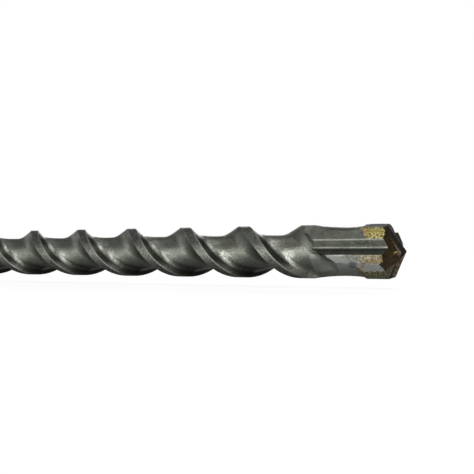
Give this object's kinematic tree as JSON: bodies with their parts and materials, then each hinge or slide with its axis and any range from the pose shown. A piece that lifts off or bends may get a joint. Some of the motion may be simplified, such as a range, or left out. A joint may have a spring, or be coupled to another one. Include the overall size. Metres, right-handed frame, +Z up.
{
  "type": "hammer drill bit",
  "caption": "Long hammer drill bit: slotted shank, bare neck, two-start spiral flutes and a carbide head with a main plate and smaller side plates.",
  "frame": {"origin": "centre of the flat striking face at the shank's end", "axes": "+X along the bit's axis towards the carbide tip, +Z up as the bit lies in the picture"},
  "size_m": [0.34, 0.018, 0.018],
  "materials": {
    "shank_steel": "shot-blasted, satin",
    "flute_steel": "shot-blasted, dark satin",
    "carbide": "ground sintered carbide, dark satin",
    "braze": "dull braze metal"
  },
  "bodies": {
    "root": {"shank": "shank_steel", "fluted_section": "flute_steel", "main_cutter": "carbide", "side_cutter_1": "carbide", "side_cutter_2": "carbide", "main_braze": "braze", "side_braze_1": "braze", "side_braze_2": "braze"}
  },
  "joints": []
}
